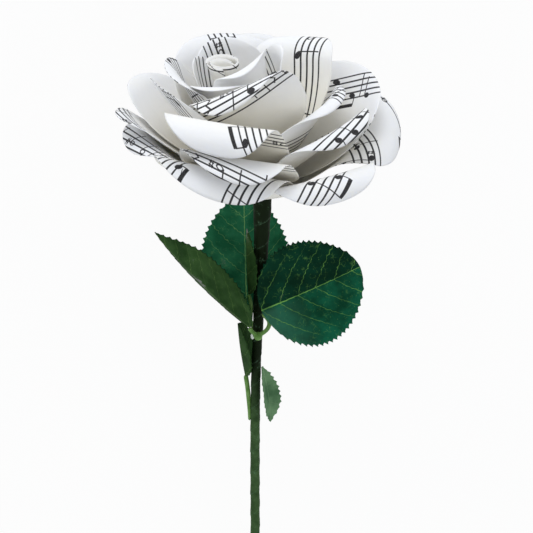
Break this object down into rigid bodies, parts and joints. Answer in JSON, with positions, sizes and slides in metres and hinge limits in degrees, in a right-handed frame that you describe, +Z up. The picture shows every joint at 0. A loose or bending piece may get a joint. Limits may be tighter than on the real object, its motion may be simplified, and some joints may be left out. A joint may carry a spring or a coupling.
{
  "type": "sheet music paper rose",
  "caption": "Rose made from curled sheet music petals round a rolled bud, on a wire stem wound with green tape, with serrated leaves; lies on its side.",
  "frame": {"origin": "middle of the bounding box at the surface that the rose lies on", "axes": "+Z up, +Y along the stem towards the bloom, +X to the right seen from above with the bloom at the top"},
  "size_m": [0.0882, 0.243, 0.0933],
  "materials": {
    "sheet_music_paper": "white printed paper, curled, unvarnished",
    "stem_tape": "waxed dark green floral tape, wound",
    "stem_wire": "drawn steel wire with a cut end",
    "leaf_cloth": "stiffened cloth leaf, printed green with light veins, satin",
    "leaf_stalk": "moulded light green plastic",
    "clear_glue": "set clear craft glue"
  },
  "bodies": {
    "root": {"bud": "sheet_music_paper", "bud_petal_left": "sheet_music_paper", "bud_petal_right": "sheet_music_paper", "collar_petal_front": "sheet_music_paper", "glue_drop": "clear_glue", "inner_petal_back": "sheet_music_paper", "inner_petal_front": "sheet_music_paper", "inner_petal_left": "sheet_music_paper", "inner_petal_right": "sheet_music_paper", "leaf_back": "leaf_cloth", "leaf_beside_stem": "leaf_cloth", "leaf_left": "leaf_cloth", "leaf_right": "leaf_cloth", "leaf_stalk_back": "leaf_stalk", "leaf_stalk_beside_stem": "leaf_stalk", "leaf_stalks_front": "leaf_stalk", "lower_petal_back": "sheet_music_paper", "lower_petal_front": "sheet_music_paper", "middle_petal_back": "sheet_music_paper", "middle_petal_front": "sheet_music_paper", "middle_petal_left": "sheet_music_paper", "middle_petal_right": "sheet_music_paper", "narrow_petal_left": "sheet_music_paper", "outer_petal_back_left": "sheet_music_paper", "outer_petal_back_right": "sheet_music_paper", "outer_petal_front_left": "sheet_music_paper", "outer_petal_front_right": "sheet_music_paper", "outer_petal_left": "sheet_music_paper", "outer_petal_right": "sheet_music_paper", "side_petal_right": "sheet_music_paper", "small_leaf_left": "leaf_cloth", "small_leaf_right": "leaf_cloth", "small_leaf_stalk": "leaf_stalk", "stem_tape": "stem_tape", "stem_wire": "stem_wire", "tall_petal_back_left": "sheet_music_paper", "tall_petal_back_right": "sheet_music_paper", "wide_petal_left_back": "sheet_music_paper", "wide_petal_right": "sheet_music_paper"}
  },
  "joints": []
}
